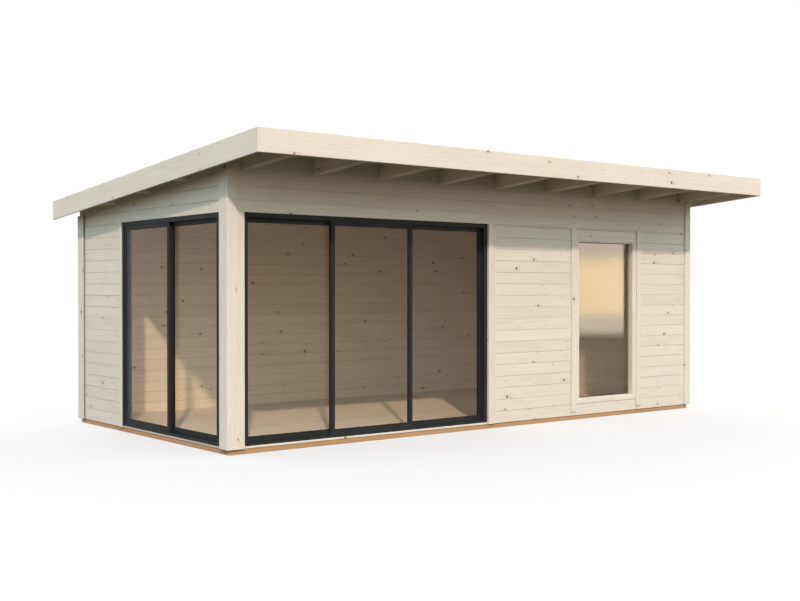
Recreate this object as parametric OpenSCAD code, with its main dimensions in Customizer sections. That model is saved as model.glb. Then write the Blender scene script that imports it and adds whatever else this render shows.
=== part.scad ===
// Wooden garden shed with a lean-to roof, two sliding glass doors and a tall window.
// Millimetres, +Z up. The front faces -Y and the origin is the centre of the plan at ground level.

/* [Walls] */
// Length of the front over the corner boards
length = 6250; // [5700:10:7200]
// Depth from the front to the back over the corner boards
depth = 3150; // [2800:10:3900]
// Thickness of a wall panel
wall_t = 80; // [60:1:100]
// Thickness of the corner boards and cover battens
trim_t = 18; // [14:1:24]
// Width of a corner board on the front and the back
corner_front_w = 96; // [80:1:120]
// Width of a corner board on the left and right sides
corner_side_w = 125; // [100:1:140]
// Width of the cover batten on the far side of the front door
front_batten_w = 84; // [60:1:110]
// Width of the cover batten on the far side of the left door
left_batten_w = 50; // [40:1:80]

/* [Base] */
// Height of the bearers that the shed stands on
bearer_h = 45; // [30:1:90]
// Width of a long bearer
bearer_w = 95; // [80:1:140]
// Width of a cross bearer
cross_bearer_w = 70; // [45:1:95]
// Number of cross bearers
cross_bearers_n = 9; // [5:1:11]
// How far the bearers stand back from the corner boards
bearer_inset = 30; // [20:1:40]
// Thickness of the floor boards
floor_t = 19; // [16:1:28]
// How far a door threshold stands back from the corner boards
threshold_inset = 20; // [10:1:30]

/* [Roof] */
// Height of the front wall from the top of the doors to the rafters
header_h = 359; // [300:1:460]
// Fall of the roof towards the back, in degrees
roof_pitch = 4.5; // [3:0.1:7]
// Roof overhang at the front
overhang_front = 820; // [500:10:1000]
// Roof overhang at the back
overhang_back = 170; // [120:10:300]
// Roof overhang at each side
overhang_side = 200; // [120:10:300]
// Upright depth of a rafter
rafter_d = 140; // [120:1:180]
// Width of a rafter
rafter_w = 75; // [60:1:90]
// Number of rafters
rafters_n = 9; // [8:1:11]
// Distance of the outer rafters from the corner boards
rafter_inset = 150; // [130:1:180]
// Width of a lookout, the short rafter that carries the side overhang
lookout_w = 45; // [40:1:70]
// Number of lookouts on a side
lookouts_n = 3; // [2:1:3]
// Distance from the front to the first lookout
lookout_first = 690; // [500:10:800]
// Distance between lookouts
lookout_pitch = 760; // [600:10:800]
// Thickness of the closing boards between the rafters
closer_t = 28; // [18:1:40]
// Thickness of the roof boards
deck_t = 19; // [16:1:28]
// Thickness of the roof covering
felt_t = 4; // [3:1:8]
// Height of the fascia boards
fascia_h = 195; // [180:1:230]
// Thickness of the fascia boards
fascia_t = 20; // [16:1:28]
// How far the fascia hangs below the rafters
fascia_drop = 19; // [5:1:25]

/* [Sliding doors] */
// Height of a door frame
door_h = 2000; // [1900:10:2100]
// Width of the front door's frame
front_door_w = 2830; // [2600:10:2900]
// Width of the left door's frame
left_door_w = 1921; // [1700:1:1960]
// Width of the near corner post along the front
post_front_w = 170; // [165:1:190]
// Width of the near corner post along the left side
post_side_w = 165; // [145:1:190]
// How far the front door frame stands back from the corner boards
front_door_inset = 28; // [18:1:36]
// How far the left door frame stands back from the corner boards
left_door_inset = 14; // [10:1:30]
// Face width of a jamb
jamb_w = 44; // [36:1:54]
// Face height of the head
head_h = 42; // [36:1:55]
// Thickness of the sill below its running rails
sill_h = 18; // [14:1:24]
// Height of a running rail
rail_h = 6; // [6:1:8]
// Width of a running rail
rail_w = 10; // [8:1:14]
// Thickness of the walls between the frame's channels
web_t = 3; // [3:1:6]
// Depth of the channels that take the leaves' edges
channel_d = 16; // [16:1:20]
// How far a closed leaf reaches into a channel
leaf_tuck = 9; // [8:1:10]
// Thickness of a leaf
leaf_t = 26; // [24:1:36]
// Face width of a leaf's stile
stile_w = 36; // [32:1:50]
// Face height of a leaf's top and bottom rails
leaf_rail_h = 43; // [38:1:60]
// Running gap between a leaf and its channel
leaf_gap = 5; // [5:1:8]
// Thickness of a glass unit
glass_t = 14; // [10:1:18]
// How far the glass reaches into its frame
glass_bite = 10; // [8:1:16]
// How much further the front door's sliding leaf laps the left leaf than a whole stile
slider_shift = 20; // [0:1:30]

/* [Window] */
// Distance from the right corner to the window's right batten
window_from_right = 898; // [700:10:1100]
// Width of the window frame
window_w = 997; // [800:1:1100]
// Height of the window frame's underside
window_z = 166; // [120:1:600]
// Height of the wall panel between the window and the top of the doors
window_head = 86; // [60:1:400]
// Face width of the window frame
window_face = 60; // [40:1:80]
// How far the window frame stands back from the corner boards
window_inset = 10; // [4:1:16]
// Depth of the glass behind the face of the window frame
window_glass_back = 66; // [40:1:70]
// Width of a cover batten beside the window
window_batten_w = 70; // [50:1:90]
// Height of the underside of the window's battens
window_batten_z = 87; // [50:1:110]

/* [Hidden] */

// Outer faces of the corner boards
left_x = -length / 2;
right_x = length / 2;
front_y = (overhang_front - overhang_back - depth) / 2;
back_y = front_y + depth;
// Outer and inner faces of the wall panels
wall_out = trim_t;
wall_in = trim_t + wall_t;
// Heights
floor_z = bearer_h + floor_t;
door_top = floor_z + door_h;
eaves_z = door_top + header_h;
window_top = door_top - window_head;
// Roof edges and the inner faces of the fascias
roof_front = front_y - overhang_front;
roof_back = back_y + overhang_back;
roof_left = left_x - overhang_side;
roof_right = right_x + overhang_side;
deck_front = roof_front + fascia_t;
deck_back = roof_back - fascia_t;
deck_left = roof_left + fascia_t;
deck_right = roof_right - fascia_t;
rafter_first = left_x + rafter_inset;
rafter_pitch = (length - 2 * rafter_inset - rafter_w) / (rafters_n - 1);
rafter_last = rafter_first + rafter_pitch * (rafters_n - 1);
// Fitting gap where roof pieces meet along the slope
slope_gap = 0.2;
// Underside of the roof boards over that of the rafters
deck_z = rafter_d + slope_gap;
// Door frame section
channel_w = leaf_t + 2 * leaf_gap;
track_pitch = channel_w + web_t;
tracks_n = 2;
frame_d = tracks_n * track_pitch + web_t;
OUTER_TRACK = 0;
INNER_TRACK = 1;
// A leaf hangs this far over its running rail
seat_gap = 0.3;
leaf_z = sill_h + rail_h + seat_gap;
leaf_h = door_h - head_h + leaf_tuck - leaf_z;
// The sill's weather lip stops this far above the rails
lip_over_rail = 4;
front_leaves_n = 3;
left_leaves_n = 2;
// Places of the openings along the walls
front_door_x = left_x + post_front_w;
front_door_end = front_door_x + front_door_w;
left_door_y = front_y + post_side_w;
left_door_end = left_door_y + left_door_w;
window_end = right_x - window_from_right - window_batten_w;
window_x = window_end - window_w;
window_d = wall_in - window_inset;

wood = "#e2d8c3";
treated_wood = "#c2946c";
dark_metal = "#303436";
glazing = [0.62, 0.66, 0.66, 0.35];
felt_grey = "#4b4d4f";

// Height of the rafters' underside at a distance y along the plan
function under(y) = eaves_z - (y - front_y) * tan(roof_pitch);
// Height of a wall's top, just clear of the rafters
function wall_top(y) = under(y) - slope_gap;

// A box between two corners
module block(low, high) {
    translate(low)
        cube(high - low);
}

// A side profile of points [y, z], drawn out from x0 to x1
module along_x(x0, x1, profile) {
    translate([x0, 0, 0])
        rotate([90, 0, 90])
            linear_extrude(x1 - x0)
                polygon(profile);
}

// A wall piece from a level underside up to the slope of the rafters
module wall_to_roof(x0, x1, y0, y1, z0) {
    along_x(x0, x1, [[y0, z0], [y1, z0], [y1, wall_top(y1)], [y0, wall_top(y0)]]);
}

// A layer that follows the roof's slope, z0 to z1 above the rafters' underside
module roof_layer(x0, x1, y0, y1, z0, z1) {
    along_x(x0, x1, [
        [y0, under(y0) + z0], [y1, under(y1) + z0],
        [y1, under(y1) + z1], [y0, under(y0) + z1]
    ]);
}

// Width of one leaf of a door with n leaves in a frame of width w
function leaf_w(w, n) = (w - 2 * jamb_w + 2 * leaf_tuck + (n - 1) * stile_w) / n;
// Start of leaf i along the frame
function leaf_x(w, n, i) = jamb_w - leaf_tuck + i * (leaf_w(w, n) - stile_w);
// Middle of a track, measured from the face of the frame
function track_y(track) = web_t + channel_w / 2 + track * track_pitch;

// Moves a door built along X to its place in the front wall
module in_front_wall() {
    translate([front_door_x, front_y + front_door_inset, floor_z])
        children();
}

// Moves a door built along X to its place in the left wall, where its length runs along Y
module in_left_wall() {
    translate([left_x + left_door_inset, left_door_y, floor_z])
        mirror([1, -1, 0])
            children();
}

// Plan of one jamb, with a channel for each track in its inner side
module jamb_section() {
    difference() {
        square([jamb_w, frame_d]);
        for (track = [0 : tracks_n - 1])
            translate([jamb_w - channel_d, track_y(track) - channel_w / 2])
                square([channel_d, channel_w]);
    }
}

module door_jambs(w) {
    linear_extrude(door_h)
        jamb_section();
    translate([w, 0, 0])
        mirror([1, 0, 0])
            linear_extrude(door_h)
                jamb_section();
}

// Upright section of the head, with its channels open downwards
module head_section() {
    difference() {
        square([frame_d, head_h]);
        for (track = [0 : tracks_n - 1])
            translate([track_y(track) - channel_w / 2, 0])
                square([channel_w, channel_d]);
    }
}

module door_head(w) {
    translate([jamb_w, 0, door_h - head_h])
        rotate([90, 0, 90])
            linear_extrude(w - 2 * jamb_w)
                head_section();
}

// Upright section of the sill: a plate with a running rail for each track and a lip at both edges
module sill_section() {
    lip_h = sill_h + rail_h + lip_over_rail;
    square([frame_d, sill_h]);
    square([web_t, lip_h]);
    translate([frame_d - web_t, 0])
        square([web_t, lip_h]);
    for (track = [0 : tracks_n - 1])
        translate([track_y(track) - rail_w / 2, 0])
            square([rail_w, sill_h + rail_h]);
}

module door_sill(w) {
    translate([jamb_w, 0, 0])
        rotate([90, 0, 90])
            linear_extrude(w - 2 * jamb_w)
                sill_section();
}

// The pane of one leaf, as far as it reaches into the leaf's frame
module leaf_glass(w, n, i, track) {
    side = stile_w - glass_bite;
    rail = leaf_rail_h - glass_bite;
    translate([leaf_x(w, n, i) + side, track_y(track) - glass_t / 2, leaf_z + rail])
        cube([leaf_w(w, n) - 2 * side, glass_t, leaf_h - 2 * rail]);
}

// Two stiles and two rails round the pane
module leaf_frame(w, n, i, track) {
    difference() {
        translate([leaf_x(w, n, i), track_y(track) - leaf_t / 2, leaf_z])
            cube([leaf_w(w, n), leaf_t, leaf_h]);
        translate([leaf_x(w, n, i) + stile_w, track_y(track) - leaf_t, leaf_z + leaf_rail_h])
            cube([leaf_w(w, n) - 2 * stile_w, 2 * leaf_t, leaf_h - 2 * leaf_rail_h]);
        leaf_glass(w, n, i, track);
    }
}

module front_leaf(i, track, shift = 0) {
    color(dark_metal)
        in_front_wall()
            translate([-shift, 0, 0])
                leaf_frame(front_door_w, front_leaves_n, i, track);
}

module front_pane(i, track, shift = 0) {
    color(glazing)
        in_front_wall()
            translate([-shift, 0, 0])
                leaf_glass(front_door_w, front_leaves_n, i, track);
}

module left_leaf(i, track) {
    color(dark_metal)
        in_left_wall()
            leaf_frame(left_door_w, left_leaves_n, i, track);
}

module left_pane(i, track) {
    color(glazing)
        in_left_wall()
            leaf_glass(left_door_w, left_leaves_n, i, track);
}

module long_bearer(y0) {
    color(treated_wood)
        block([left_x + bearer_inset, y0, 0], [right_x - bearer_inset, y0 + bearer_w, bearer_h]);
}

module front_bearer() {
    long_bearer(front_y + bearer_inset);
}

module back_bearer() {
    long_bearer(back_y - bearer_inset - bearer_w);
}

module cross_bearers() {
    first = left_x + bearer_inset;
    step = (length - 2 * bearer_inset - cross_bearer_w) / (cross_bearers_n - 1);
    side = bearer_inset + bearer_w;
    color(treated_wood)
        for (i = [0 : cross_bearers_n - 1])
            block([first + i * step, front_y + side, 0],
                  [first + i * step + cross_bearer_w, back_y - side, bearer_h]);
}

module floor_deck() {
    color(wood)
        difference() {
            block([left_x + wall_in, front_y + wall_in, bearer_h],
                  [right_x - wall_in, back_y - wall_in, floor_z]);
            block([left_x, front_y, 0], [front_door_x, left_door_y, door_h]);
        }
}

module door_thresholds() {
    color(wood) {
        block([front_door_x, front_y + threshold_inset, bearer_h],
              [front_door_end, front_y + wall_in, floor_z]);
        block([left_x + threshold_inset, left_door_y, bearer_h],
              [left_x + wall_in, left_door_end, floor_z]);
    }
}

module corner_post() {
    color(wood)
        block([left_x + wall_out, front_y + wall_out, bearer_h], [front_door_x, left_door_y, door_top]);
}

module front_panel(x0, x1, z0, z1) {
    color(wood)
        block([x0, front_y + wall_out, z0], [x1, front_y + wall_in, z1]);
}

module front_wall_middle() {
    front_panel(front_door_end, window_x, bearer_h, door_top);
}

module front_wall_right() {
    front_panel(window_end, right_x - wall_out, bearer_h, door_top);
}

module window_infill_panels() {
    front_panel(window_x, window_end, bearer_h, window_z);
    front_panel(window_x, window_end, window_top, door_top);
}

module front_header() {
    color(wood)
        wall_to_roof(left_x + wall_out, right_x - wall_out, front_y + wall_out, front_y + wall_in, door_top);
}

module left_wall() {
    color(wood)
        block([left_x + wall_out, left_door_end, bearer_h], [left_x + wall_in, back_y - wall_in, door_top]);
}

module left_header() {
    color(wood)
        wall_to_roof(left_x + wall_out, left_x + wall_in, front_y + wall_in, back_y - wall_in, door_top);
}

module right_wall() {
    color(wood)
        wall_to_roof(right_x - wall_in, right_x - wall_out, front_y + wall_in, back_y - wall_in, bearer_h);
}

module back_wall() {
    color(wood)
        wall_to_roof(left_x + wall_out, right_x - wall_out, back_y - wall_in, back_y - wall_out, bearer_h);
}

// Corner boards on the front and on the back
module end_corner_boards() {
    color(wood)
        for (x = [left_x, right_x - corner_front_w])
            for (y = [front_y, back_y - trim_t])
                wall_to_roof(x, x + corner_front_w, y, y + trim_t, bearer_h);
}

// Corner boards on the left and right sides, between those of the front and the back
module side_corner_boards() {
    near = front_y + trim_t;
    far = back_y - trim_t - corner_side_w;
    color(wood)
        for (x = [left_x, right_x - trim_t])
            for (y = [near, far])
                wall_to_roof(x, x + trim_t, y, y + corner_side_w, bearer_h);
}

// Battens beside the doors; the first covers the post between its corner board and the front door
module door_battens() {
    color(wood) {
        block([left_x + corner_front_w, front_y, bearer_h],
              [front_door_x, front_y + trim_t, door_top]);
        block([front_door_end, front_y, bearer_h],
              [front_door_end + front_batten_w, front_y + trim_t, door_top]);
        block([left_x, left_door_end, bearer_h],
              [left_x + trim_t, left_door_end + left_batten_w, door_top]);
    }
}

module window_battens() {
    color(wood)
        for (x = [window_x - window_batten_w, window_end])
            block([x, front_y, window_batten_z], [x + window_batten_w, front_y + trim_t, door_top]);
}

module window_glass() {
    edge = window_face - glass_bite;
    y = front_y + window_inset + window_glass_back;
    color(glazing)
        block([window_x + edge, y, window_z + edge], [window_end - edge, y + glass_t, window_top - edge]);
}

module window_frame() {
    y = front_y + window_inset;
    color(wood)
        difference() {
            block([window_x, y, window_z], [window_end, y + window_d, window_top]);
            block([window_x + window_face, y - window_d, window_z + window_face],
                  [window_end - window_face, y + 2 * window_d, window_top - window_face]);
            window_glass();
        }
}

module front_door_jambs() {
    color(dark_metal)
        in_front_wall()
            door_jambs(front_door_w);
}

module front_door_head() {
    color(dark_metal)
        in_front_wall()
            door_head(front_door_w);
}

module front_door_sill() {
    color(dark_metal)
        in_front_wall()
            door_sill(front_door_w);
}

module left_door_jambs() {
    color(dark_metal)
        in_left_wall()
            door_jambs(left_door_w);
}

module left_door_head() {
    color(dark_metal)
        in_left_wall()
            door_head(left_door_w);
}

module left_door_sill() {
    color(dark_metal)
        in_left_wall()
            door_sill(left_door_w);
}

module rafters() {
    color(wood)
        for (i = [0 : rafters_n - 1]) {
            x = rafter_first + i * rafter_pitch;
            roof_layer(x, x + rafter_w, deck_front, deck_back, 0, rafter_d);
        }
}

// Start of lookout i along the side
function lookout_y(i) = front_y + lookout_first + i * lookout_pitch;

module lookouts() {
    color(wood)
        for (i = [0 : lookouts_n - 1]) {
            y = lookout_y(i);
            roof_layer(deck_left, rafter_first, y, y + lookout_w, 0, rafter_d);
            roof_layer(rafter_last + rafter_w, deck_right, y, y + lookout_w, 0, rafter_d);
        }
}

// Boards that close the wall between the rafters, along the front and the back
module eaves_closers() {
    starts = [
        left_x + wall_out + closer_t,
        for (i = [0 : rafters_n - 1]) rafter_first + i * rafter_pitch + rafter_w
    ];
    ends = [
        for (i = [0 : rafters_n - 1]) rafter_first + i * rafter_pitch,
        right_x - wall_out - closer_t
    ];
    color(wood)
        for (i = [0 : rafters_n])
            for (y = [front_y + wall_out, back_y - wall_out - closer_t])
                roof_layer(starts[i] + slope_gap, ends[i] - slope_gap, y, y + closer_t, 0, rafter_d);
}

// Boards that close the wall between the lookouts, along both sides
module gable_closers() {
    starts = [front_y + wall_out, for (i = [0 : lookouts_n - 1]) lookout_y(i) + lookout_w];
    ends = [for (i = [0 : lookouts_n - 1]) lookout_y(i), back_y - wall_out];
    color(wood)
        for (i = [0 : lookouts_n])
            for (x = [left_x + wall_out, right_x - wall_out - closer_t])
                roof_layer(x, x + closer_t, starts[i], ends[i], 0, rafter_d);
}

module roof_deck() {
    color(wood)
        roof_layer(deck_left, deck_right, deck_front, deck_back, deck_z, deck_z + deck_t);
}

module roof_felt() {
    low = deck_z + deck_t + slope_gap;
    color(felt_grey)
        roof_layer(deck_left, deck_right, deck_front, deck_back, low, low + felt_t);
}

// An upright board across the roof's front or back edge
module cross_fascia(y0, edge_y) {
    z = under(edge_y) - fascia_drop;
    color(wood)
        block([deck_left, y0, z], [deck_right, y0 + fascia_t, z + fascia_h]);
}

module front_fascia() {
    cross_fascia(roof_front, roof_front);
}

module back_fascia() {
    cross_fascia(deck_back, roof_back);
}

module side_fascias() {
    color(wood)
        for (x = [roof_left, deck_right])
            roof_layer(x, x + fascia_t, roof_front, roof_back, -fascia_drop, fascia_h - fascia_drop);
}

front_bearer();
back_bearer();
cross_bearers();
floor_deck();
door_thresholds();
corner_post();
front_wall_middle();
front_wall_right();
window_infill_panels();
front_header();
left_wall();
left_header();
right_wall();
back_wall();
end_corner_boards();
side_corner_boards();
door_battens();
window_battens();
window_frame();
window_glass();
front_door_jambs();
front_door_head();
front_door_sill();
front_leaf(0, INNER_TRACK);  // front_leaf_left_frame
front_pane(0, INNER_TRACK);  // front_leaf_left_glass
front_leaf(1, OUTER_TRACK, slider_shift);  // front_leaf_middle_frame
front_pane(1, OUTER_TRACK, slider_shift);  // front_leaf_middle_glass
front_leaf(2, INNER_TRACK);  // front_leaf_right_frame
front_pane(2, INNER_TRACK);  // front_leaf_right_glass
left_door_jambs();
left_door_head();
left_door_sill();
left_leaf(0, INNER_TRACK);  // left_leaf_front_frame
left_pane(0, INNER_TRACK);  // left_leaf_front_glass
left_leaf(1, OUTER_TRACK);  // left_leaf_back_frame
left_pane(1, OUTER_TRACK);  // left_leaf_back_glass
rafters();
lookouts();
eaves_closers();
gable_closers();
roof_deck();
roof_felt();
front_fascia();
back_fascia();
side_fascias();
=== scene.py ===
import math
import random

import bmesh
import bpy
import numpy as np
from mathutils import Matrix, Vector


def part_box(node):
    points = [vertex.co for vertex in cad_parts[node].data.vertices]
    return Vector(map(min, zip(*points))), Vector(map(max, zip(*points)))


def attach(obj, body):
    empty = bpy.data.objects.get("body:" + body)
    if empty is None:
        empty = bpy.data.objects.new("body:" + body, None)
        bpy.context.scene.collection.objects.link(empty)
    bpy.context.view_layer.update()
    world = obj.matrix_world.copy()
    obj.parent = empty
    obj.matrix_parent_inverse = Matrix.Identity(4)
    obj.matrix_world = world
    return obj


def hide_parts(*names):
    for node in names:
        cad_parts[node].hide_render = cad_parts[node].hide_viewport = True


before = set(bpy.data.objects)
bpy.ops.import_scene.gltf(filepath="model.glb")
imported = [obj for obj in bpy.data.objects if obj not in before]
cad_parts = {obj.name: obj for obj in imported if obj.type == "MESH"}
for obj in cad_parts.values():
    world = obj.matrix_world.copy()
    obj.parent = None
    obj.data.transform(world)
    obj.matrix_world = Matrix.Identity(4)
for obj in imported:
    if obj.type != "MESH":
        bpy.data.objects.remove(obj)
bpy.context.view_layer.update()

X, Y, Z = 0, 1, 2
SHED = "shed"

# Board sizes in metres
COURSE = 0.11775
FIRST_JOINT = 0.166
THINNEST_COURSE = 0.012
FLOOR_BOARD = 0.121
ROOF_BOARD = 0.117
BACK_FASCIA = 0.1

# Eased edges in metres
BOARD_EASE = 0.003
TRIM_EASE = 0.003
TIMBER_EASE = 0.004
ROOF_BOARD_EASE = 0.002
BEAD_EASE = 0.002
FLOOR_BOARD_EASE = 0.0015
FOAM_EASE = 0.0015
METAL_EASE = 0.0012
RUBBER_EASE = 0.001
FELT_EASE = 0.001

# Fits in metres
GLASS_BITE = 0.010
CUT_CLEARANCE = 0.0006
WELD = 1e-5
SAME_PLACE = 1e-4


class Wire:
    """One output of a node; arithmetic on it adds Math nodes."""

    def __init__(self, shading, socket):
        self.shading = shading
        self.socket = socket

    def twin(self, output):
        """Another output of the same node."""
        return Wire(self.shading, find(self.socket.node.outputs, output))

    def __add__(self, other):
        return self.shading.math("ADD", self, other)

    def __radd__(self, other):
        return self.shading.math("ADD", other, self)

    def __sub__(self, other):
        return self.shading.math("SUBTRACT", self, other)

    def __rsub__(self, other):
        return self.shading.math("SUBTRACT", other, self)

    def __mul__(self, other):
        return self.shading.math("MULTIPLY", self, other)

    def __rmul__(self, other):
        return self.shading.math("MULTIPLY", other, self)

    def __truediv__(self, other):
        return self.shading.math("DIVIDE", self, other)

    def __rtruediv__(self, other):
        return self.shading.math("DIVIDE", other, self)

    def __pow__(self, other):
        return self.shading.math("POWER", self, other)

    def __rpow__(self, other):
        return self.shading.math("POWER", other, self)


def find(sockets, key):
    """A socket by its place, its identifier or its name."""
    if isinstance(key, int):
        return sockets[key]
    for socket in sockets:
        if socket.identifier == key:
            return socket
    return sockets[key]


class Shading:
    """The nodes of one material, lamp or world."""

    def __init__(self, owner):
        owner.use_nodes = True
        self.owner = owner
        self.tree = owner.node_tree
        self.tree.nodes.clear()

    def add(self, kind, output, settings=None, sockets=None):
        """Adds a node with its settings, then its sockets' values or links, and returns one output."""
        node = self.tree.nodes.new("ShaderNode" + kind)
        for name, value in (settings or {}).items():
            setattr(node, name, value)
        for key, value in (sockets or {}).items():
            target = find(node.inputs, key)
            if isinstance(value, Wire):
                self.tree.links.new(value.socket, target)
            else:
                target.default_value = value
        return None if output is None else Wire(self, find(node.outputs, output))

    def math(self, operation, *values):
        return self.add("Math", "Value", {"operation": operation}, dict(enumerate(values)))

    def vector(self, operation, *values):
        output = "Value" if operation == "LENGTH" else "Vector"
        return self.add("VectorMath", output, {"operation": operation}, dict(enumerate(values)))

    def mix(self, factor, first, second):
        """The first colour where the factor is 0, and the second where it is 1."""
        sockets = {"Factor_Float": factor, "A_Color": first, "B_Color": second}
        return self.add("Mix", "Result_Color", {"data_type": "RGBA"}, sockets)

    def step(self, value, start, end):
        """0 before start, 1 after end and smooth between; start may lie after end."""
        sockets = {"Value": value, "From Min": start, "From Max": end}
        return self.add("MapRange", "Result", {"interpolation_type": "SMOOTHSTEP"}, sockets)

    def noise(self, place, scale, detail=2.0):
        """Noise from 0 to 1, stretched by a scale for each axis of the place."""
        stretched = self.vector("MULTIPLY", place, scale)
        sockets = {"Vector": stretched, "Scale": 1.0, "Detail": detail}
        return self.add("TexNoise", "Fac", {"noise_dimensions": "3D"}, sockets)

    def bump(self, height, strength, distance):
        sockets = {"Strength": strength, "Distance": distance, "Height": height}
        return self.add("Bump", "Normal", None, sockets)

    def surface(self, **sockets):
        """The Principled shader, with underscores in the names of its sockets."""
        named = {name.replace("_", " "): value for name, value in sockets.items()}
        self.output(self.add("BsdfPrincipled", "BSDF", None, named))

    def output(self, shader):
        kind = "Output" + self.owner.id_type.title()
        self.add(kind, None, None, {"Surface": shader})


def rgb(red, green, blue):
    return (red, green, blue, 1.0)


def shade(colour, factor):
    return tuple(channel * factor for channel in colour[:3]) + (1.0,)


# Finishes

def wood_finish(name, early, late, knot, ring_gap, ring_depth, knot_share, rough, edge=None, gloss=0.08):
    """Softwood: growth rings round a pith, knots that the rings flow round, and fine fibres."""
    shading = Shading(bpy.data.materials.new(name))
    grain = shading.add("Attribute", "Vector", {"attribute_name": "grain"})
    tone = shading.add("Attribute", "Fac", {"attribute_name": "tone"})
    eased = shading.add("Attribute", "Fac", {"attribute_name": "eased"})

    def knot_cells(along, across):
        """The way from the middle of the nearest knot, in metres, and that knot's own random numbers."""
        cells = shading.vector("MULTIPLY", grain, (1 / along, 1 / across, 0.0))
        middle = shading.add("TexVoronoi", "Position", {"voronoi_dimensions": "2D"},
                             {"Vector": cells, "Scale": 1.0, "Randomness": 0.9})
        chance = shading.add("SeparateColor", "Red", None, {"Color": middle.twin("Color")})
        way = shading.vector("SUBTRACT", cells, middle)
        return shading.vector("MULTIPLY", way, (along, across, 0.0)), chance

    # Knots, each with a dark core, a rim and a halo drawn out along the grain
    offset, chance = knot_cells(along=0.36, across=0.15)
    ragged = shading.noise(grain, (130.0, 130.0, 130.0)) - 0.5
    reach = shading.vector("LENGTH", offset) + 0.004 * ragged
    squeezed = shading.vector("MULTIPLY", offset, (0.3, 1.0, 0.0))
    drawn_out = shading.vector("LENGTH", squeezed) + 0.006 * ragged
    radius = 0.0032 + 0.0088 * chance.twin("Green") ** 2
    present = shading.math("LESS_THAN", chance, knot_share)
    core = present * shading.step(reach, radius * 1.15, radius * 0.75)
    rim = present * shading.step(reach, radius * 1.7, radius * 1.05)
    halo = present * shading.step(drawn_out, radius * 3.5, radius * 0.8)

    # Pin knots
    pin_offset, pin_chance = knot_cells(along=0.11, across=0.06)
    pin_reach = shading.vector("LENGTH", pin_offset) + 0.0014 * ragged
    pin_radius = 0.0012 + 0.0022 * pin_chance.twin("Green")
    pin_present = shading.math("LESS_THAN", pin_chance, 0.32 * knot_share)
    pins = pin_present * shading.step(pin_reach, pin_radius * 1.3, pin_radius * 0.7)

    # Rings about the pith, pushed aside by the knots
    grain_across = shading.add("SeparateXYZ", "Y", None, {"Vector": grain})
    knot_across = shading.add("SeparateXYZ", "Y", None, {"Vector": offset})
    wander = shading.noise(grain, (0.9, 4.0, 4.0), 1.0) - 0.5
    across = grain_across - 0.8 * halo * knot_across + 0.03 * wander
    through = grain_across.twin("Z") + 0.02 * wander
    pith_distance = shading.math("SQRT", across * across + through * through)
    jitter = shading.noise(grain, (3.0, 90.0, 90.0)) - 0.5
    phase = shading.math("FRACT", pith_distance / ring_gap + 0.55 * jitter)
    late_wood = shading.step(phase, 0.35, 0.9) * shading.step(phase, 1.0, 0.93)

    fibres = shading.noise(grain, (7.0, 520.0, 520.0), 3.0)
    streaks = shading.noise(grain, (0.7, 46.0, 46.0), 3.0)
    dashes = shading.noise(grain, (6.0, 120.0, 120.0), 1.0)
    clouds = shading.noise(grain, (1.6, 7.0, 7.0), 2.0)

    colour = shading.mix(ring_depth * late_wood, early, late)
    colour = shading.mix(shading.step(streaks, 0.45, 0.8) * 0.45, colour, late)
    colour = shading.mix(shading.step(clouds, 0.3, 0.75) * 0.5, colour, shade(early, 1.07))
    colour = shading.mix(shading.step(fibres, 0.5, 0.9) * 0.28, colour, shade(late, 0.8))
    colour = shading.mix(shading.step(dashes, 0.64, 0.76) * 0.45, colour, shade(late, 0.78))
    colour = shading.mix(shading.math("MAXIMUM", tone, 0.0) * 0.55, colour, late)
    colour = shading.mix(shading.math("MAXIMUM", 0 - tone, 0.0) * 0.6, colour, shade(early, 1.1))
    colour = shading.mix(halo * 0.4, colour, late)
    colour = shading.mix(pins * 0.7, colour, shade(knot, 1.6))
    colour = shading.mix(rim * 0.75, colour, shade(knot, 1.9))
    colour = shading.mix(core * 0.85, colour, knot)
    # Chamfered edges take the given edge colour, a painted shade in the V joints of wall and floor boards;
    # without one they are a little paler, as rubbed wear
    colour = shading.mix(eased * 0.6, colour, edge or shade(early, 1.04))

    height = 0.45 * late_wood + 0.5 * fibres + 0.25 * streaks - 0.4 * core
    shading.surface(
        Base_Color=colour,
        Roughness=rough - 0.12 * late_wood + 0.1 * fibres - 0.15 * core,
        Specular_IOR_Level=gloss,
        Normal=shading.bump(height, 0.35, 0.0007),
    )
    return shading.owner


def coat_finish():
    """Dark powder coat: a fine orange peel, faint mottling and dust that lies more on what faces up."""
    shading = Shading(bpy.data.materials.new("dark_powder_coat"))
    place = shading.add("TexCoord", "Object")
    peel = shading.noise(place, (900.0, 900.0, 900.0), 2.0)
    mottle = shading.noise(place, (5.0, 5.0, 2.0), 4.0)
    rubbed = shading.noise(place, (38.0, 38.0, 9.0), 4.0)
    facing = shading.add("SeparateXYZ", "Z", None, {"Vector": shading.add("NewGeometry", "Normal")})
    dust = shading.step(facing, 0.3, 1.0) * shading.step(rubbed, 0.35, 0.7)
    dark, pale = rgb(0.0245, 0.026, 0.0248), rgb(0.031, 0.0325, 0.0312)
    colour = shading.mix(shading.step(mottle, 0.3, 0.7), dark, pale)
    colour = shading.mix(shading.step(rubbed, 0.62, 0.8) * 0.3, colour, rgb(0.042, 0.044, 0.043))
    colour = shading.mix(dust * 0.15, colour, rgb(0.2, 0.185, 0.16))
    shading.surface(
        Base_Color=colour,
        Roughness=0.42 + 0.14 * mottle + 0.2 * dust,
        Specular_IOR_Level=0.06,
        Normal=shading.bump(peel, 0.12, 0.0003),
    )
    return shading.owner


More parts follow.
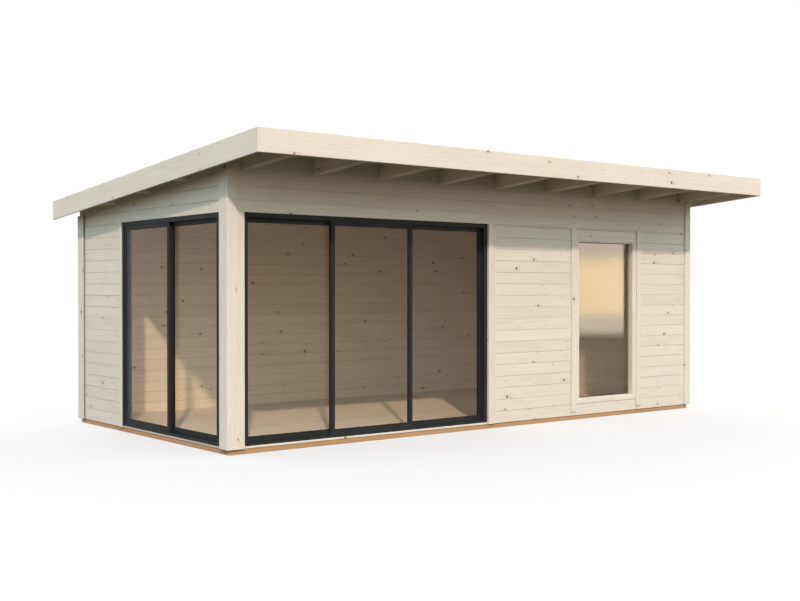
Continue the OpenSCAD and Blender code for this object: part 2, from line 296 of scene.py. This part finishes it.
def bloomed_finish(name, dark, pale, metal=0.0):
    """Rubber, foam, bitumen or zinc with a slight bloom."""
    shading = Shading(bpy.data.materials.new(name))
    place = shading.add("TexCoord", "Object")
    bloom = shading.noise(place, (24.0, 24.0, 24.0), 4.0)
    pores = shading.noise(place, (1400.0, 1400.0, 1400.0), 1.0)
    shading.surface(
        Base_Color=shading.mix(bloom, dark, pale),
        Roughness=0.6 + 0.2 * bloom,
        Metallic=metal,
        Specular_IOR_Level=0.2,
        Normal=shading.bump(pores, 0.1, 0.0002),
    )
    return shading.owner


def glass_finish():
    """Clear glass with a slight warm tint; it mirrors more at low angles and where it is smeared."""
    shading = Shading(bpy.data.materials.new("clear_glass"))
    place = shading.add("TexCoord", "Object")
    smears = shading.noise(place, (3.0, 3.0, 1.2), 4.0)
    edge_on = shading.add("LayerWeight", "Facing", None, {"Blend": 0.5})
    mirror = 0.013 + 0.55 * edge_on ** 5 + 0.008 * smears
    clear = shading.add("BsdfTransparent", "BSDF", None, {"Color": rgb(0.965, 0.93, 0.875)})
    sheen = {"Color": rgb(0.95, 0.97, 0.97), "Roughness": 0.02}
    gloss = shading.add("BsdfAnisotropic", "BSDF", None, sheen)
    shading.output(shading.add("MixShader", "Shader", None, {"Fac": mirror, 1: clear, 2: gloss}))
    return shading.owner


def felt_finish():
    """Mineral roofing felt: grey slate granules on black bitumen, worn and streaked down the slope."""
    shading = Shading(bpy.data.materials.new("mineral_felt"))
    place = shading.add("TexCoord", "Object")
    tone = shading.add("Attribute", "Fac", {"attribute_name": "tone"})
    granules = shading.add("TexVoronoi", "Distance", None, {"Vector": place, "Scale": 420.0})
    granule_tone = shading.add("SeparateColor", "Red", None, {"Color": granules.twin("Color")})
    worn = shading.noise(place, (2.2, 1.1, 2.0), 5.0)
    streaks = shading.noise(place, (9.0, 0.5, 0.5), 3.0)
    colour = shading.mix(granule_tone, rgb(0.05, 0.048, 0.046), rgb(0.15, 0.144, 0.137))
    colour = shading.mix(shading.step(worn, 0.5, 0.8) * 0.4, colour, rgb(0.04, 0.04, 0.041))
    colour = shading.mix(shading.step(streaks, 0.5, 0.8) * 0.3, colour, rgb(0.14, 0.138, 0.13))
    colour = shading.mix(shading.math("ABSOLUTE", tone) * 0.25, colour, rgb(0.09, 0.092, 0.095))
    shading.surface(
        Base_Color=colour,
        Roughness=0.82 + 0.14 * granule_tone,
        Specular_IOR_Level=0.25,
        Normal=shading.bump(1 - granules, 0.5, 0.001),
    )
    return shading.owner


SPRUCE = rgb(0.80, 0.705, 0.575)
SPRUCE_LATE = rgb(0.66, 0.53, 0.385)
SPRUCE_KNOT = rgb(0.14, 0.08, 0.045)
# Darker colour for the chamfers of wall and floor boards: painted shade in the V joints between boards
PAINTED_JOINT_SHADE = rgb(0.50, 0.375, 0.25)

wall_wood = wood_finish("wall_spruce", SPRUCE, SPRUCE_LATE, SPRUCE_KNOT,
                        ring_gap=0.0042, ring_depth=0.45, knot_share=0.5, rough=0.62, edge=PAINTED_JOINT_SHADE)
trim_wood = wood_finish("trim_spruce", shade(SPRUCE, 1.01), SPRUCE_LATE, SPRUCE_KNOT,
                        ring_gap=0.0036, ring_depth=0.38, knot_share=0.6, rough=0.58)
fascia_wood = wood_finish("fascia_spruce", SPRUCE, SPRUCE_LATE, SPRUCE_KNOT,
                          ring_gap=0.0046, ring_depth=0.42, knot_share=0.45, rough=0.6)
# Roof spruce: the spruce colours shifted greener, as the soffit looks in shade, so painted shade in the
# wood's colour
roof_wood = wood_finish("roof_spruce_painted_shade", rgb(0.775, 0.72, 0.60), rgb(0.635, 0.535, 0.395), SPRUCE_KNOT,
                        ring_gap=0.0048, ring_depth=0.55, knot_share=0.4, rough=0.68, gloss=0.0)
floor_wood = wood_finish("floor_spruce", rgb(0.83, 0.755, 0.655), rgb(0.70, 0.58, 0.45), SPRUCE_KNOT,
                         ring_gap=0.004, ring_depth=0.45, knot_share=0.35, rough=0.52, edge=PAINTED_JOINT_SHADE)
bearer_wood = wood_finish("treated_timber", rgb(0.60, 0.335, 0.165), rgb(0.41, 0.20, 0.085),
                          rgb(0.09, 0.04, 0.02), ring_gap=0.005, ring_depth=0.6, knot_share=0.4, rough=0.75)
dark_coat = coat_finish()
black_rubber = bloomed_finish("black_rubber", rgb(0.008, 0.008, 0.009), rgb(0.024, 0.024, 0.025))
# Dull brown for the strips beside the corner boards: a painted shadow in the gap there
painted_shadow_foam = bloomed_finish("painted_shadow_foam", rgb(0.24, 0.185, 0.13), rgb(0.34, 0.265, 0.19))
black_bitumen = bloomed_finish("black_bitumen", rgb(0.006, 0.006, 0.006), rgb(0.014, 0.014, 0.013))
dull_zinc = bloomed_finish("dull_zinc", rgb(0.34, 0.35, 0.36), rgb(0.50, 0.51, 0.52), metal=0.8)
clear_glass = glass_finish()
roof_felt = felt_finish()


# The roof's slope, read from the ends of the rafters

def rafter_line():
    """The rafters' front end, their underside's height there, and their fall per metre to the back."""
    points = np.array([vertex.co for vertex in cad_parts["rafters"].data.vertices], float)
    front, back = points[:, Y].min(), points[:, Y].max()
    at_front = points[points[:, Y] < front + SAME_PLACE, Z]
    at_back = points[points[:, Y] > back - SAME_PLACE, Z]
    return front, at_front.min(), (at_front.min() - at_back.min()) / (back - front)


rafter_front, rafter_under, roof_fall = rafter_line()


def drop(y):
    """How far the roof has fallen at y, from the rafters' front end."""
    return (y - rafter_front) * roof_fall


# Pieces made of boards

def solids(node, sloped=False):
    """The lowest and highest corner of each separate solid in a node; sloped ones are first levelled."""
    mesh = bmesh.new()
    mesh.from_mesh(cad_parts[node].data)
    bmesh.ops.remove_doubles(mesh, verts=mesh.verts, dist=WELD)
    waiting = set(mesh.verts)
    boxes = []
    while waiting:
        island = [waiting.pop()]
        for vertex in island:
            for edge in vertex.link_edges:
                other = edge.other_vert(vertex)
                if other in waiting:
                    waiting.remove(other)
                    island.append(other)
        points = np.array([vertex.co for vertex in island], float)
        if sloped:
            points[:, Z] += drop(points[:, Y])
        boxes.append((points.min(0), points.max(0)))
    mesh.free()
    return sorted(boxes, key=lambda corners: tuple(np.round(corners[0], 4)))


def eased_block():
    """The vertices, their insets, the faces and which faces are eased, of a block with chamfered edges.

    Each corner has three vertices, one for each axis, inset along the other two axes.
    """
    signs = [(i, j, k) for i in (-1, 1) for j in (-1, 1) for k in (-1, 1)]
    around = ((-1, -1), (1, -1), (1, 1), (-1, 1))

    def corner(axis, side, first, second):
        """The first vertex of a corner, from its sign along an axis and its signs along the other two."""
        sign = [first, second]
        sign.insert(axis, side)
        return signs.index(tuple(sign)) * 3

    faces, eased = [], []
    for axis in (X, Y, Z):
        one, other = (free for free in (X, Y, Z) if free != axis)
        for side in (-1, 1):
            faces.append([corner(axis, side, first, second) + axis for first, second in around])
            eased.append(0.0)
        for first in (-1, 1):
            for second in (-1, 1):
                near, far = corner(axis, -1, first, second), corner(axis, 1, first, second)
                faces.append([near + one, far + one, far + other, near + other])
                eased.append(1.0)
    for index in range(len(signs)):
        faces.append([index * 3 + X, index * 3 + Y, index * 3 + Z])
        eased.append(1.0)
    full = np.repeat(np.array(signs, float), 3, axis=0)
    inward = full.copy()
    inward[np.arange(len(full)), np.tile((X, Y, Z), len(signs))] = 0.0

    # Every face is turned outwards, as a block with a sample inset shows it
    sample = full - 0.2 * inward
    for face in faces:
        a, b, c = sample[face[:3]]
        if np.dot(np.cross(b - a, c - b), sample[face].mean(0)) < 0:
            face.reverse()
    return full, inward, faces, eased


BLOCK_FULL, BLOCK_INWARD, BLOCK_FACES, BLOCK_EASED = eased_block()


class Boards:
    """The boards of one piece, gathered and then made into one mesh."""

    def __init__(self, name):
        self.name = name
        self.draw = random.Random(name)
        self.points, self.faces, self.eased = [], [], []
        self.grain, self.tone = [], []

    def add(self, low, high, along, ease=TRIM_EASE, sloped=False, normal=None):
        """A board between two corners, with its grain along one axis.

        Its broad face looks along the normal where one is given, and else along its lesser size.
        A sloped board is lowered by the roof's fall.
        """
        largest_ease = 0.45
        low, high = np.array(low, float), np.array(high, float)
        half = (high - low) / 2
        ease = min(ease, half.min() * largest_ease)
        offsets = BLOCK_FULL * half - BLOCK_INWARD * ease
        points = offsets + (low + high) / 2
        if sloped:
            points[:, Z] -= drop(points[:, Y])
        broad = half.copy()
        if normal is not None:
            broad[normal] = 0.0
        crosswise = [axis for axis in (X, Y, Z) if axis != along]
        across, through = sorted(crosswise, key=lambda axis: -broad[axis])

        # Each board is sawn from its own place in a log, to one side of the pith
        place_in_log = self.draw.uniform(0, 60)
        pith_aside = self.draw.uniform(-0.03, 0.03)
        pith_depth = self.draw.choice((-1, 1)) * self.draw.uniform(0.02, 0.09)
        pith = np.array((place_in_log, pith_aside, pith_depth))
        start = len(self.points) * len(BLOCK_FULL)
        self.faces += [[start + index for index in corners] for corners in BLOCK_FACES]
        self.eased += BLOCK_EASED
        self.points.append(points)
        self.grain.append(offsets[:, (along, across, through)] + pith)
        self.tone.append(np.full(len(offsets), self.draw.gauss(0, 0.17)))

    def make(self, finish, slot, *nodes, body=SHED, under_roof=False):
        """One mesh of all the boards, riding on a body in place of the nodes."""
        mesh = bpy.data.meshes.new(self.name)
        mesh.from_pydata(np.concatenate(self.points).tolist(), [], self.faces)
        for name, kind, domain, field, values in (
                ("grain", "FLOAT_VECTOR", "POINT", "vector", np.concatenate(self.grain)),
                ("tone", "FLOAT", "POINT", "value", np.concatenate(self.tone)),
                ("eased", "FLOAT", "FACE", "value", np.array(self.eased))):
            layer = mesh.attributes.new(name, kind, domain)
            layer.data.foreach_set(field, values.astype(np.float32).ravel())
        if under_roof:
            cut_under_roof(mesh)
        mesh.materials.append(finish)
        add_piece(self.name, mesh, nodes, body)


def add_piece(name, mesh, nodes, body):
    """Links a mesh as a piece that rides on a body and stands for CAD nodes."""
    piece = bpy.data.objects.new(name, mesh)
    bpy.context.scene.collection.objects.link(piece)
    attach(piece, body)
    if nodes:
        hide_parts(*nodes)


def cut_under_roof(mesh):
    """Saws a wall's boards off along the underside of the rafters."""
    work = bmesh.new()
    work.from_mesh(mesh)
    on_plane = Vector((0.0, rafter_front, rafter_under - CUT_CLEARANCE))
    upward = Vector((0.0, roof_fall, 1.0)).normalized()
    cut = bmesh.ops.bisect_plane(work, geom=[*work.verts, *work.edges, *work.faces],
                                 plane_co=on_plane, plane_no=upward, clear_outer=True)
    edges = [part for part in cut["geom_cut"] if isinstance(part, bmesh.types.BMEdge)]
    bmesh.ops.holes_fill(work, edges=edges, sides=0)
    bmesh.ops.recalc_face_normals(work, faces=work.faces)
    work.to_mesh(mesh)
    work.free()


def split(start, end, joint, pitch):
    """Ranges from start to end, parted at a joint and at every pitch from it, without thin slivers."""
    first = math.ceil((start - joint) / pitch)
    last = math.floor((end - joint) / pitch)
    joints = [joint + count * pitch for count in range(first, last + 1)]
    inner = [value for value in joints if start + THINNEST_COURSE < value < end - THINNEST_COURSE]
    edges = [start] + inner + [end]
    return list(zip(edges, edges[1:]))


def boarded_wall(node, under_roof=False):
    """Horizontal boards, with eased edges that leave a V joint between the courses."""
    boards = Boards(node + "_boards")
    for low, high in solids(node):
        size = high - low
        along, normal = (X, Y) if size[X] > size[Y] else (Y, X)
        for bottom, top in split(low[Z], high[Z], FIRST_JOINT, COURSE):
            ease = BOARD_EASE * boards.draw.uniform(0.55, 1.2)
            boards.add((low[X], low[Y], bottom), (high[X], high[Y], top), along, ease, normal=normal)
    boards.make(wall_wood, "wall_wood", node, under_roof=under_roof)


def timbers(node, finish, slot, ease=TRIM_EASE, sloped=False, along=None, under_roof=False):
    """One eased timber for each solid in a node, with its grain along its length or a given axis."""
    boards = Boards(node + "_timber")
    for low, high in solids(node, sloped):
        length = int(np.argmax(high - low))
        boards.add(low, high, length if along is None else along, ease, sloped)
    boards.make(finish, slot, node, under_roof=under_roof)


# Base and floor

for bearer in ("front_bearer", "back_bearer", "cross_bearers"):
    timbers(bearer, bearer_wood, "bearer_wood", TIMBER_EASE)
timbers("door_thresholds", trim_wood, "floor_wood")


def floor_boards():
    """Boards along the shed; those beside the corner post start at it."""
    boards = Boards("floor_boards")
    low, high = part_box("floor_deck")
    post_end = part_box("corner_post")[1]
    for near, far in split(low.y, high.y, post_end.y, FLOOR_BOARD):
        start = post_end.x if far < post_end.y + SAME_PLACE else low.x
        boards.add((start, near, low.z), (high.x, far, high.z), X, FLOOR_BOARD_EASE)
    boards.make(floor_wood, "floor_wood", "floor_deck")


floor_boards()

# Walls and trims

for panel in ("front_wall_middle", "front_wall_right", "window_infill_panels", "left_wall"):
    boarded_wall(panel)
for panel in ("front_header", "left_header", "right_wall", "back_wall"):
    boarded_wall(panel, under_roof=True)
for trim in ("corner_post", "door_battens", "window_battens"):
    timbers(trim, trim_wood, "trim_wood")
for trim in ("end_corner_boards", "side_corner_boards"):
    timbers(trim, trim_wood, "trim_wood", under_roof=True)


def corner_seals():
    """A dark foam strip between a side wall's boards and each corner board, a painted shadow for the gap
    there, but none between the doors.
    """
    width, recess = 0.010, 0.003
    strips = Boards("corner_seals")
    for low, high in solids("side_corner_boards"):
        at_front, at_left = high[Y] < 0, low[X] < 0
        if at_front and at_left:
            continue
        near = high[Y] if at_front else low[Y] - width
        start = low[X] + recess if at_left else low[X]
        end = high[X] if at_left else high[X] - recess
        strips.add((start, near, low[Z]), (end, near + width, high[Z]), Z, FOAM_EASE)
    strips.make(painted_shadow_foam, "trim_wood", under_roof=True)


corner_seals()


# Window

def ring(boards, low, high, normal, width, ease):
    """Four strips round the inside of a rectangle: uprights full height, level ones between them."""
    level = X if normal == Y else Y

    def strip(start, end, bottom, top, along):
        first, second = [0.0, 0.0, bottom], [0.0, 0.0, top]
        first[normal], second[normal] = low[normal], high[normal]
        first[level], second[level] = start, end
        boards.add(first, second, along, ease)

    strip(low[level], low[level] + width, low[Z], high[Z], Z)
    strip(high[level] - width, high[level], low[Z], high[Z], Z)
    strip(low[level] + width, high[level] - width, low[Z], low[Z] + width, level)
    strip(low[level] + width, high[level] - width, high[Z] - width, high[Z], level)


def inset(low, high, normal, margin, front, back):
    """A pane's rectangle less a margin all round, between two places across its thickness."""
    first, second = np.array(low) + margin, np.array(high) - margin
    first[normal], second[normal] = front, back
    return first, second


def window():
    """Uprights and rails, and glazing beads that hold the pane from outside and inside."""
    outer_step, inner_step = 0.006, 0.004
    frame_low, frame_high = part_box("window_frame")
    pane_low, pane_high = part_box("window_glass")
    members = Boards("window_frame_members")
    ring(members, frame_low, frame_high, Y, pane_low.x - frame_low.x, TIMBER_EASE)
    members.make(trim_wood, "trim_wood", "window_frame")
    beads = Boards("window_beads")
    outside = (frame_low.y + outer_step, pane_low.y)
    inside = (pane_high.y, frame_high.y - inner_step)
    for front, back in (outside, inside):
        low, high = inset(pane_low, pane_high, Y, 0.0, front, back)
        ring(beads, low, high, Y, GLASS_BITE, BEAD_EASE)
    beads.make(trim_wood, "trim_wood")


def pane_seals(name, glass, normal, body):
    """Rubber strips on both faces of a pane, along the edge of its frame."""
    width, thick = 0.005, 0.0035
    low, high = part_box(glass)
    strips = Boards(name)
    for front, back in ((low[normal] - thick, low[normal]), (high[normal], high[normal] + thick)):
        inner_low, inner_high = inset(low, high, normal, GLASS_BITE, front, back)
        ring(strips, inner_low, inner_high, normal, width, RUBBER_EASE)
    strips.make(black_rubber, "frame_metal", body=body)


window()
pane_seals("window_seals", "window_glass", Y, SHED)


# Sliding doors

def softened(node, body):
    """A copy of a metal node with its edges rounded over."""
    flat, sharp = math.radians(1), math.radians(30)
    work = bmesh.new()
    work.from_mesh(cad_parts[node].data)
    bmesh.ops.remove_doubles(work, verts=work.verts, dist=WELD)
    bmesh.ops.dissolve_limit(work, angle_limit=flat, verts=work.verts, edges=work.edges)
    arrises = [edge for edge in work.edges if edge.is_manifold and edge.calc_face_angle() > sharp]
    bmesh.ops.bevel(work, geom=arrises, offset=METAL_EASE, segments=2, profile=0.5, affect="EDGES",
                    clamp_overlap=True)
    mesh = bpy.data.meshes.new(node + "_profile")
    work.to_mesh(mesh)
    work.free()
    mesh.materials.append(dark_coat)
    add_piece(node + "_profile", mesh, [node], body)


def glaze(node):
    """Gives a pane that stays as it is its finish."""
    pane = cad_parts[node]
    pane.data.materials.clear()
    pane.data.materials.append(clear_glass)


LEAVES = {
    "front_leaf_left": (Y, SHED),
    "front_leaf_middle": (Y, "front_sliding_leaf"),
    "front_leaf_right": (Y, SHED),
    "left_leaf_front": (X, "left_sliding_leaf"),
    "left_leaf_back": (X, SHED),
}
for door in ("front_door", "left_door"):
    for part in ("jambs", "head", "sill"):
        softened(door + "_" + part, SHED)
for leaf, (normal, body) in LEAVES.items():
    softened(leaf + "_frame", body)
    glaze(leaf + "_glass")
    pane_seals(leaf + "_seals", leaf + "_glass", normal, body)
glaze("window_glass")

# Roof

timbers("rafters", roof_wood, "roof_wood", TIMBER_EASE, sloped=True)
timbers("lookouts", roof_wood, "roof_wood", TIMBER_EASE, sloped=True, along=X)
timbers("eaves_closers", roof_wood, "roof_wood", sloped=True)
timbers("gable_closers", roof_wood, "roof_wood", sloped=True)
timbers("front_fascia", fascia_wood, "fascia_wood")
timbers("side_fascias", fascia_wood, "fascia_wood", sloped=True)


def back_fascia():
    """A narrower board along the low eaves, which leaves the lower half of the rafters' ends bare."""
    board = Boards("back_fascia_timber")
    low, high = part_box("back_fascia")
    board.add((low.x, low.y, high.z - BACK_FASCIA), high, X)
    board.make(fascia_wood, "fascia_wood", "back_fascia")


def roof_boards():
    """Boards along the roof, from the front eaves to the back."""
    boards = Boards("roof_boards")
    (low, high), = solids("roof_deck", sloped=True)
    for near, far in split(low[Y], high[Y], low[Y], ROOF_BOARD):
        boards.add((low[X], near, low[Z]), (high[X], far, high[Z]), X, ROOF_BOARD_EASE, sloped=True)
    boards.make(roof_wood, "roof_wood", "roof_deck")


def felt_strips():
    """Strips along the roof, each lapping the one below it, with bitumen at the lap and a row of nails."""
    strip, lap, rise = 0.92, 0.09, 0.0014
    bead, bead_rise, bead_ease = 0.014, 0.0006, 0.0005
    nail, nail_rise, nail_ease = 0.009, 0.0014, 0.0006
    nail_gap, nail_row, nail_stray = 0.1, 0.03, 0.004
    strips, bitumen, nails = Boards("felt_strips"), Boards("lap_bitumen"), Boards("felt_nails")
    (low, high), = solids("roof_felt", sloped=True)
    back, top = high[Y], high[Z]
    while back > low[Y] + lap:
        front = max(low[Y], back - strip)
        edge = back
        if back < high[Y]:
            edge, under, top = back + lap, top, top + rise
            bead_corner = (high[X], edge + bead, under + bead_rise)
            bitumen.add((low[X], edge, low[Z]), bead_corner, X, bead_ease, sloped=True)
            for number in range(int((high[X] - low[X]) / nail_gap)):
                start = low[X] + (number + 0.5) * nail_gap
                near = edge - nail_row + nails.draw.uniform(-nail_stray, nail_stray)
                nail_corner = (start + nail, near + nail, top + nail_rise)
                nails.add((start, near, top), nail_corner, X, nail_ease, sloped=True)
        strips.add((low[X], front, low[Z]), (high[X], edge, top), X, FELT_EASE, sloped=True)
        back = front
    strips.make(roof_felt, "roof_covering", "roof_felt")
    bitumen.make(black_bitumen, "roof_covering")
    nails.make(dull_zinc, "roof_covering")


back_fascia()
roof_boards()
felt_strips()


# Stage, light and camera

def seen_directly(shading):
    """1 for rays from the camera, off gloss or through glass, and 0 for light that falls on the object."""
    path = shading.add("LightPath", "Is Camera Ray")
    mirrored = shading.math("MAXIMUM", path.twin("Is Glossy Ray"), path.twin("Is Transmission Ray"))
    return shading.math("MAXIMUM", path, mirrored)


def studio_floor():
    """A wide floor that looks white but sends little light back up."""
    reach, gap = 160.0, 0.001
    mesh = bpy.data.meshes.new("studio_floor")
    corners = [(-reach, -reach, 0), (reach, -reach, 0), (reach, reach, 0), (-reach, reach, 0)]
    mesh.from_pydata(corners, [], [(0, 1, 2, 3)])
    shading = Shading(bpy.data.materials.new("pale_floor"))
    pale = shading.add("BsdfDiffuse", "BSDF", None, {"Color": rgb(0.55, 0.52, 0.50)})
    lift = shading.add("Emission", "Emission", None, {"Color": rgb(1, 1, 1), "Strength": 0.38})
    dull = shading.add("BsdfDiffuse", "BSDF", None, {"Color": rgb(0.074, 0.068, 0.046)})
    bright = shading.add("AddShader", "Shader", None, {0: pale, 1: lift})
    sides = {"Fac": seen_directly(shading), 1: dull, 2: bright}
    shading.output(shading.add("MixShader", "Shader", None, sides))
    mesh.materials.append(shading.owner)
    plane = bpy.data.objects.new("studio_floor", mesh)
    plane.location.z = -gap
    bpy.context.scene.collection.objects.link(plane)


def lamp(name, kind, energy, colour, facing, **settings):
    """A lamp that faces along a vector."""
    light = bpy.data.lights.new(name, kind)
    light.energy = energy
    light.color = colour
    for setting, value in settings.items():
        setattr(light, setting, value)
    stand = bpy.data.objects.new(name, light)
    stand.rotation_euler = Vector(facing).to_track_quat("-Z", "Y").to_euler()
    bpy.context.scene.collection.objects.link(stand)
    return stand


def soft_light():
    """A white world whose light is warm near the floor, cool above and cooler from the left; a key lamp."""
    world = bpy.data.worlds.new("studio")
    bpy.context.scene.world = world
    shading = Shading(world)
    heading = shading.add("SeparateXYZ", "X", None, {"Vector": shading.add("TexCoord", "Generated")})
    up = heading.twin("Z")
    sideways = 0.5 + 0.5 * heading
    low = shading.mix(sideways, rgb(0.95, 0.98, 0.95), rgb(1.50, 1.21, 0.97))
    middle = shading.mix(sideways, rgb(0.93, 1.34, 1.73), rgb(1.93, 2.21, 2.23))
    falling = shading.mix(shading.step(up, 0.0, 0.28), low, middle)
    falling = shading.mix(shading.step(up, 0.28, 0.9), falling, rgb(0.55, 0.63, 0.67))
    colour = shading.mix(seen_directly(shading), falling, rgb(1, 1, 1))
    shading.output(shading.add("Background", "Background", None, {"Color": colour, "Strength": 1.0}))
    key_facing = (0.4446, 0.7107, -0.5451)
    lamp("key", "SUN", 1.98, (1.0, 0.85, 0.785), key_facing, angle=math.radians(2.0))


def softbox():
    """A warm softbox off to the right, duller above and at its foot, which only a reflection shows."""
    width, height, foot, glow = 3.6, 3.98, 0.02, 20.0
    facing = (-0.751, 0.660, 0.0)
    box = lamp("softbox", "AREA", glow * math.pi * width * height, (1.0, 1.0, 1.0), facing,
               shape="RECTANGLE", size=width, size_y=height)
    box.location = (15.98, -13.76, foot + height / 2)
    box.visible_camera = False
    box.visible_diffuse = False
    shading = Shading(box.data)
    upward = shading.add("SeparateXYZ", "Y", None, {"Vector": shading.add("NewGeometry", "Parametric")})
    amber = shading.step(upward, 0.12, 0.22) * shading.step(upward, 0.62, 0.50)
    colour = shading.mix(amber, rgb(0.56, 0.48, 0.395), rgb(1.0, 0.75, 0.46))
    colour = shading.mix(shading.step(upward, 0.0, 0.08), rgb(0, 0, 0), colour)
    shading.output(shading.add("Emission", "Emission", None, {"Color": colour}))


def camera():
    """The photograph's own place, heading and lens."""
    heading, tilt = math.radians(51.505), math.radians(-0.5735)
    lens = bpy.data.cameras.new("view")
    lens.sensor_width = 36.0
    lens.lens = 50.76
    lens.clip_end = 400.0
    view = bpy.data.objects.new("view", lens)
    view.location = (-7.8895, -9.5733, 1.4067)
    view.rotation_euler = (math.pi / 2 + tilt, 0.0, heading - math.pi / 2)
    bpy.context.scene.collection.objects.link(view)
    bpy.context.scene.camera = view


studio_floor()
soft_light()
softbox()
camera()
bpy.context.scene.view_settings.view_transform = "Standard"

bpy.context.view_layer.update()
